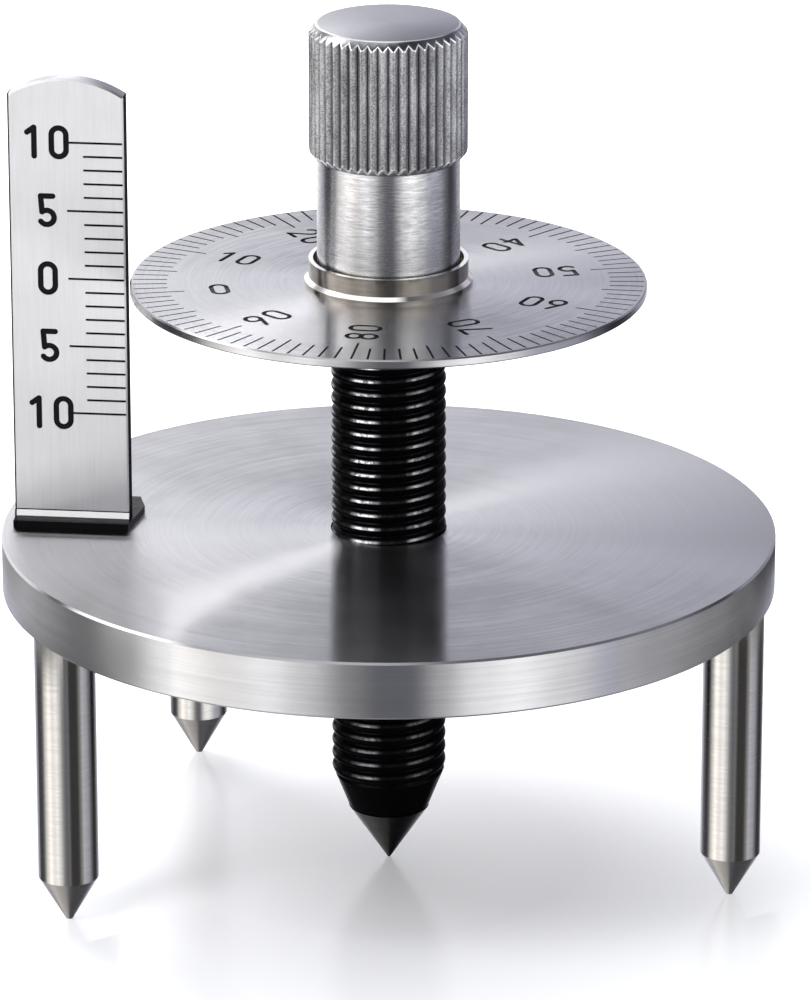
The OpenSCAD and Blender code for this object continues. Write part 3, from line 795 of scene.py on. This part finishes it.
print("open edges:", sum(len(e.link_faces) != 2 for e in ridge.edges))

head = finished("knurled_head", ridge)
head.data.set_sharp_from_angle(angle=math.radians(40))
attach(head, "spindle")
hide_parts("knob_head")
print("head:", len(head.data.polygons), "faces")

# %% [markdown]
# ### Its finishes
#
# The ridges have a fine grain, like steel that was plated after knurling, and are darker deep in the grooves.
# The end is smooth, the chamfers are painted darker as painted shade, and the zigzag edges are burnished by
# fingers and painted brighter as a painted highlight.

# %% Knurl finishes
KNURL_STEEL = (0.55, 0.55, 0.58)
END_STEEL = (0.37, 0.37, 0.4)
EDGE_HIGHLIGHT_STEEL = (0.95, 0.95, 0.96)
CHAMFER_SHADE_STEEL = (0.4, 0.4, 0.41)
GRAIN_SHARE = 0.7


def grained_steel(name, colour, groove_radius, crest_radius):
    """Satin steel with bright specks, darker below the crests."""
    material, tree, shader = new_material(name)
    point = object_point(tree)
    grain = noise(tree, point, 8.0 / MM, 4.0, 0.75)
    slow = noise(tree, vector_node(tree, "MULTIPLY", point, (1, 1, 0.25)), 1.6 / MM, 3.0)
    speck = total(tree, product(tree, grain, GRAIN_SHARE), product(tree, slow, 1 - GRAIN_SHARE))
    darker = tuple(0.35 * c for c in colour)
    tone = mix_colour(tree, ramp(tree, speck, 0.42, 0.58, 0, 1), darker, colour)
    groove_darkening = ramp(tree, axis_distance(tree, point), groove_radius, crest_radius, 0.95, 0)
    tone = mix_colour(tree, groove_darkening, tone, tuple(0.1 * c for c in colour))
    tree.links.new(tone, shader.inputs["Base Color"])
    tree.links.new(ramp(tree, grain, 0.3, 0.7, 0.42, 0.26), shader.inputs["Roughness"])
    shader.inputs["Metallic"].default_value = 1.0
    bump(tree, shader, speck, 50 * MICRON)
    return material


head_finishes = {
    ON_RIDGE: grained_steel("knurled_steel", KNURL_STEEL, HEAD_RADIUS - RIDGE_DEPTH,
                            HEAD_RADIUS - 0.45 * RIDGE_DEPTH),
    ON_END: turned_steel("faced_head", END_STEEL, rings_per_mm=7.0, run=3.0, rough=(0.3, 0.33),
                         stretch=0.2, groove=0.03 * MICRON, dull=0.95),
    # Painted highlight on the zigzag edges, and painted shade on the chamfers below.
    ON_EDGE: turned_steel("burnished_edge_highlight", EDGE_HIGHLIGHT_STEEL, rings_per_mm=7.0, run=3.0, rough=(0.14, 0.22),
                          stretch=0.0, dull=0.9),
    ON_CHAMFER: turned_steel("chamfer_painted_shade", CHAMFER_SHADE_STEEL, rings_per_mm=7.0, run=2.0, rough=(0.2, 0.28),
                             stretch=0.0, groove=0.2 * MICRON),
}
for slot in sorted(head_finishes):
    head.data.materials.append(head_finishes[slot])
print("head dressed in", len(head.data.materials), "finishes")

# %% [markdown]
# ## The table
#
# The table is white and slightly glossy, so each leg has a faint reflection under it.
# Its glow is for the camera alone, so it puts no more light on the steel. It grows with the distance
# from the object, so that the table reaches the background as plain white, and its weak glow close to the
# object is a painted shade round it.
# Polished steel would mirror the table as one flat white field and lose its shape,
# so the table stays out of the steel's reflections, and the studio below takes its place there.

# %% Table
TABLE_WHITE = (0.82, 0.82, 0.85, 1)
TABLE_GLOW = 0.26
GLOW_NEAR_SHADE = (14 * MM, 45 * MM)
GLOW_FAR = (45 * MM, 260 * MM)

sheet = bmesh.new()
bmesh.ops.create_grid(sheet, x_segments=1, y_segments=1, size=1.5)
table = finished("table", sheet)
table.visible_glossy = False


def seen_rays(tree):
    """1 on rays from the camera and through clear surfaces."""
    path = tree.nodes.new("ShaderNodeLightPath")
    return math_node(tree, "MAXIMUM", path.outputs["Is Camera Ray"], path.outputs["Is Transmission Ray"])


material, tree, shader = new_material("white_table")
shader.inputs["Base Color"].default_value = TABLE_WHITE
shader.inputs["Roughness"].default_value = 0.22
shader.inputs["Specular IOR Level"].default_value = 0.35
shader.inputs["Emission Color"].default_value = (0.97, 0.98, 1, 1)
distance = vector_node(tree, "LENGTH", object_point(tree))
# The glow is weak close to the object: painted shade round it.
glow = total(tree, ramp(tree, distance, *GLOW_NEAR_SHADE, TABLE_GLOW, 0.7), ramp(tree, distance, *GLOW_FAR, 0, 0.3))
tree.links.new(product(tree, seen_rays(tree), glow), shader.inputs["Emission Strength"])
table.data.materials.append(material)
print("table glow:", TABLE_GLOW)

# %% [markdown]
# ## The studio
#
# Steel shows its surroundings more than its own colour, so they are designed like a studio.
# The walls are rings of brightness round the object, and a colour ramp draws each ring.
# Its stops are directions, counted in degrees from the camera's side towards the right.


# %% Ring of brightness
def wall_ramp(tree, position, stops):
    """Brightness round the studio. Each stop is an angle from the camera in degrees, a level and a tint."""
    node = tree.nodes.new("ShaderNodeValToRGB")
    node.color_ramp.interpolation = "EASE"
    elements = node.color_ramp.elements
    while len(elements) > 1:
        elements.remove(elements[-1])
    for k, (angle, level, tint) in enumerate(stops):
        element = elements[0] if k == 0 else elements.new(0.5 + angle / 360)
        element.position = 0.5 + angle / 360
        element.color = (level * tint[0], level * tint[1], level * tint[2], 1)
    tree.links.new(position, node.inputs["Fac"])
    return node.outputs["Color"]


def ring_position(tree, direction):
    """Place on the ring, from 0 to 1, with the camera's side at 0.5."""
    return total(tree, math_node(tree, "DIVIDE", front_angle(tree, direction), math.tau), 0.5)


print("ring of brightness ready")

# %% [markdown]
# ### The walls
#
# At eye level two tall soft panels stand left and right of the camera, with a narrow dark gap
# between them and dark gaps behind them, and a pale wall closes the back.
# Higher up only the back and the left stay bright. The ground is dim and lightest at the back left,
# which gives the legs' cones a bright and a dark side.

# %% Walls
NEUTRAL = (1, 1, 1)
COOL = (0.94, 0.95, 1.08)
WARM = (1.03, 1.0, 0.97)

world = bpy.data.worlds.new("studio")
bpy.context.scene.world = world
world.use_nodes = True
tree = world.node_tree
background = tree.nodes["Background"]
direction = tree.nodes.new("ShaderNodeTexCoord").outputs["Generated"]
upward = reach(tree, direction, UP)
position = ring_position(tree, direction)

low_wall = wall_ramp(tree, position, [
    (-180, 1.0, COOL), (-152, 0.8, COOL), (-134, 0.18, COOL), (-112, 0.06, COOL), (-98, 0.16, NEUTRAL),
    (-84, 1.1, WARM), (-66, 1.95, WARM), (-50, 1.4, WARM), (-36, 1.7, NEUTRAL), (-24, 1.1, NEUTRAL),
    (-11, 0.4, NEUTRAL), (-3, 0.22, COOL), (7, 0.22, COOL), (16, 0.75, NEUTRAL), (25, 1.45, NEUTRAL),
    (38, 1.8, NEUTRAL), (54, 1.3, NEUTRAL), (70, 0.75, COOL), (90, 0.6, COOL), (106, 0.2, COOL),
    (116, 0.05, COOL), (136, 0.05, COOL), (150, 0.5, COOL), (180, 1.0, COOL)])
high_wall = wall_ramp(tree, position, [
    (-180, 1.0, COOL), (-150, 1.0, COOL), (-105, 0.9, NEUTRAL), (-75, 0.3, COOL), (-50, 0.08, COOL),
    (60, 0.06, COOL), (110, 0.2, COOL), (150, 0.6, COOL), (180, 1.0, COOL)])
ground = wall_ramp(tree, position, [
    (-180, 0.4, COOL), (-150, 0.55, NEUTRAL), (-122, 1.0, WARM), (-95, 0.5, WARM), (-60, 0.45, WARM),
    (0, 0.15, COOL), (60, 0.12, COOL), (110, 0.05, COOL), (150, 0.12, COOL), (180, 0.4, COOL)])
walls = mix_colour(tree, ramp(tree, upward, 0.5, 0.68, 0, 1), low_wall, high_wall)
walls = mix_colour(tree, ramp(tree, upward, -0.6, -0.85, 0, 1), walls, ground)
print("studio walls ready")

# %% [markdown]
# ### Two panels overhead, and who sees what
#
# One round panel hangs over the object. A smaller and brighter one, high on the left,
# draws the crisp glints on the bevels and the edges.
# Reflections see all of this. The camera sees plain white, and the other rays get an even light.

# %% Studio panels
CEILING = (-0.2, -0.1, 0.97)
GLINT = (-0.78, 0.12, 0.61)
EVEN_LIGHT = (0.44, 0.445, 0.46)


def panel(tree, direction, towards, inner, outer):
    """1 inside a round panel that hangs in a direction, soft between two angles in degrees."""
    closeness = reach(tree, direction, Vector(towards).normalized())
    return ramp(tree, closeness, math.cos(math.radians(outer)), math.cos(math.radians(inner)), 0, 1)


studio = mix_colour(tree, panel(tree, direction, CEILING, 16, 26), walls, (1.2, 1.2, 1.2))
studio = mix_colour(tree, panel(tree, direction, GLINT, 6, 20), studio, (4.5, 4.5, 4.5))
is_glossy = tree.nodes.new("ShaderNodeLightPath").outputs["Is Glossy Ray"]
light = mix_colour(tree, is_glossy, EVEN_LIGHT, studio)
tree.links.new(mix_colour(tree, seen_rays(tree), light, (1, 1, 1)), background.inputs["Color"])
background.inputs["Strength"].default_value = 1.0
print("studio ready")

# %% [markdown]
# ## Lights close by
#
# Some reflections need a light that stands close, because two places on the object
# then mirror different parts of it. Each is a glowing sheet that only reflections see.


# %% Light cards
def light_card(name, shape):
    """A sheet that only reflections see. Gives its tree and shader, ready for a brightness."""
    card = finished(name, shape)
    for sight in ("camera", "diffuse", "transmission", "volume_scatter", "shadow"):
        setattr(card, "visible_" + sight, False)
    material, tree, shader = new_material(name + "_light")
    shader.inputs["Base Color"].default_value = (0, 0, 0, 1)
    shader.inputs["Specular IOR Level"].default_value = 0.0
    shader.inputs["Emission Color"].default_value = (1, 1, 1, 1)
    card.data.materials.append(material)
    return tree, shader


print("light cards ready")

# %% [markdown]
# ### The graded panel
#
# A soft panel stands close behind the object, and its light falls off to the right.
# Each level face mirrors its own height of it: the plate the lowest, then the dial, then the knob's end.
# So the fall changes with height, and it is steepest for the knob's small end.
# The panel is darker low at the right, and it fades out above what the knob mirrors.

# %% Graded panel
PANEL_WIDTH = 500 * MM
PANEL_TOP = 230 * MM
PANEL_FOOT = 1 * MM
PANEL_DISTANCE = 150 * MM
PLATE_BAND = (66 * MM, 84 * MM)
DIAL_BAND = (91 * MM, 97 * MM)
KNOB_BAND = (100 * MM, 115 * MM)
DARK_TOP = (130 * MM, 165 * MM)
LEAST = 0.52
MOST = 1.4

card = bmesh.new()
bmesh.ops.create_grid(card, x_segments=1, y_segments=1, size=0.5)
bmesh.ops.transform(card, matrix=Matrix.Diagonal((PANEL_WIDTH, PANEL_TOP, 1, 1)), verts=card.verts[:])
bmesh.ops.rotate(card, cent=(0, 0, 0), matrix=Matrix.Rotation(math.pi / 2, 3, "X"), verts=card.verts[:])
bmesh.ops.translate(card, verts=card.verts[:], vec=(0, PANEL_DISTANCE, PANEL_TOP / 2 + PANEL_FOOT))
tree, shader = light_card("graded_panel", card)
point = object_point(tree)
side = reach(tree, point, RIGHT)
height = reach(tree, point, UP)
slope = total(tree, ramp(tree, height, *PLATE_BAND, 0.003 / MM, 0.013 / MM),
              ramp(tree, height, *DIAL_BAND, 0, -0.010 / MM),
              ramp(tree, height, *KNOB_BAND, 0, 0.047 / MM))
centre = total(tree, ramp(tree, height, *PLATE_BAND, 1.25, 0.9),
               ramp(tree, height, 85 * MM, 95 * MM, 0, 0.1))
fall = math_node(tree, "SUBTRACT", centre, product(tree, side, slope))
low_right = product(tree, ramp(tree, side, 12 * MM, 50 * MM, 0, 0.45),
                    ramp(tree, height, 80 * MM, 92 * MM, 1, 0))
level = product(tree, ramp(tree, fall, LEAST, MOST, LEAST, MOST), ramp(tree, height, *DARK_TOP, 1, 0.3),
                math_node(tree, "SUBTRACT", 1.0, low_right))
tint = mix_colour(tree, ramp(tree, fall, 0.6, 1.3, 0, 1), (0.93, 0.93, 1.12), (1, 1, 1.03))
tree.links.new(tint, shader.inputs["Emission Color"])
tree.links.new(level, shader.inputs["Emission Strength"])
print("panel ready")

# %% [markdown]
# ### The streak
#
# A small round light hangs in front of the panel's left half. The lathe rings draw it out
# into the bright streak that runs over the plate from the screw to the front left.

# %% Streak light
STREAK_PLACE = Vector((-32, 145, 136)) * MM
STREAK_RADIUS = 25 * MM
STREAK_STRENGTH = 6.5

card = bmesh.new()
bmesh.ops.create_circle(card, cap_ends=True, segments=48, radius=STREAK_RADIUS)
turn = Vector(UP).rotation_difference(-STREAK_PLACE)
bmesh.ops.rotate(card, cent=(0, 0, 0), matrix=turn.to_matrix(), verts=card.verts[:])
bmesh.ops.translate(card, verts=card.verts[:], vec=STREAK_PLACE)
tree, shader = light_card("streak_card", card)
distance = vector_node(tree, "LENGTH", vector_node(tree, "SUBTRACT", object_point(tree), STREAK_PLACE))
strength = ramp(tree, distance, 0.3 * STREAK_RADIUS, STREAK_RADIUS, STREAK_STRENGTH, 0)
tree.links.new(strength, shader.inputs["Emission Strength"])
print("streak light ready")

# %% [markdown]
# ### A flag for each front leg
#
# A polished rod mirrors half the room, so a photographer puts a small dark flag right beside it.
# It draws the dark line down the right half of each leg. It fades to grey at both of its sides.

# %% Flags
FLAG_TOWARDS = math.radians(34)
FLAG_DISTANCE = 4.5 * MM
FLAG_SIDES = (-2.35 * MM, 1.35 * MM)
FLAG_DARK = (-1.6 * MM, 0.13 * MM)
FLAG_HEIGHTS = (-3 * MM, 20.8 * MM)

towards = Vector((math.sin(FLAG_TOWARDS), -math.cos(FLAG_TOWARDS), 0))
across = Vector((math.cos(FLAG_TOWARDS), math.sin(FLAG_TOWARDS), 0))
for leg in ("leg_left", "leg_right"):
    axis = Vector((*middle(leg), 0))
    card = bmesh.new()
    corners = []
    for side, height in ((0, 0), (1, 0), (1, 1), (0, 1)):
        corner = axis + FLAG_DISTANCE * towards + FLAG_SIDES[side] * across
        corners.append(card.verts.new((corner.x, corner.y, FLAG_HEIGHTS[height])))
    card.faces.new(corners)
    tree, shader = light_card(leg + "_flag", card)
    sideways = reach(tree, vector_node(tree, "SUBTRACT", object_point(tree), axis), across)
    near_side = ramp(tree, sideways, FLAG_SIDES[0], FLAG_DARK[0], 0.3, 0.06)
    far_side = ramp(tree, sideways, FLAG_DARK[1], FLAG_SIDES[1], 0, 0.5)
    tree.links.new(total(tree, near_side, far_side), shader.inputs["Emission Strength"])
    print(leg, "has its flag")

# %% [markdown]
# ### Two strips for the plate's rim
#
# The wide rim needs calmer sides than the thin rods do, so a low strip curves round each side of it.
# Each is a short upright edge, spun through part of a turn, and its brightness follows the angle.
# They stand below the plate's top, so hardly anything but the rim sees them.

# %% Rim strips
STRIP_RADIUS = 36 * MM
STRIP_HEIGHTS = (16.5 * MM, 22.3 * MM)
STRIP_STEPS = 24
STRIPS = {
    "rim_strip_left": [(-125, 0.45), (-104, 0.34), (-85, 0.65), (-62, 0.26), (-52, 0.42), (-41, 1.6)],
    "rim_strip_right": [(44, 0.72), (53, 0.6), (73, 0.44), (86, 0.27), (97, 0.07), (125, 0.05)],
}

for name, levels in STRIPS.items():
    stops = [(angle, level, NEUTRAL) for angle, level in levels]
    first = math.radians(stops[0][0])
    last = math.radians(stops[-1][0])
    card = bmesh.new()
    corners = [card.verts.new((STRIP_RADIUS * math.sin(first), -STRIP_RADIUS * math.cos(first), z))
               for z in STRIP_HEIGHTS]
    bmesh.ops.spin(card, geom=corners + [card.edges.new(corners)], cent=(0, 0, 0), axis=UP,
                   angle=last - first, steps=STRIP_STEPS, use_duplicate=False)
    tree, shader = light_card(name, card)
    glow = wall_ramp(tree, ring_position(tree, object_point(tree)), stops)
    tree.links.new(glow, shader.inputs["Emission Color"])
    shader.inputs["Emission Strength"].default_value = 1.0
    print(name, "ready")

# %% [markdown]
# ## Lamps
#
# One wide lamp above and behind the object, a little to the left, casts the plate's soft shadow.
# A second one from the front left lights the painted and black parts.
# Both are left out of reflections, because the studio already has its panels.

# %% Lamps
AIM = Vector((0, 0, 30 * MM))


def softbox(name, place, size, power):
    """A square area lamp that points at the object."""
    data = bpy.data.lights.new(name, "AREA")
    data.shape = "SQUARE"
    data.size = size
    data.energy = power
    lamp = bpy.data.objects.new(name, data)
    bpy.context.scene.collection.objects.link(lamp)
    lamp.location = place
    lamp.rotation_euler = (AIM - Vector(place)).to_track_quat("-Z", "Y").to_euler()
    lamp.visible_glossy = False


softbox("back", (-0.15, 0.34, 0.38), 0.3, 2.0)
softbox("front", (-0.3, -0.3, 0.5), 0.2, 1.6)
print("lamps ready")
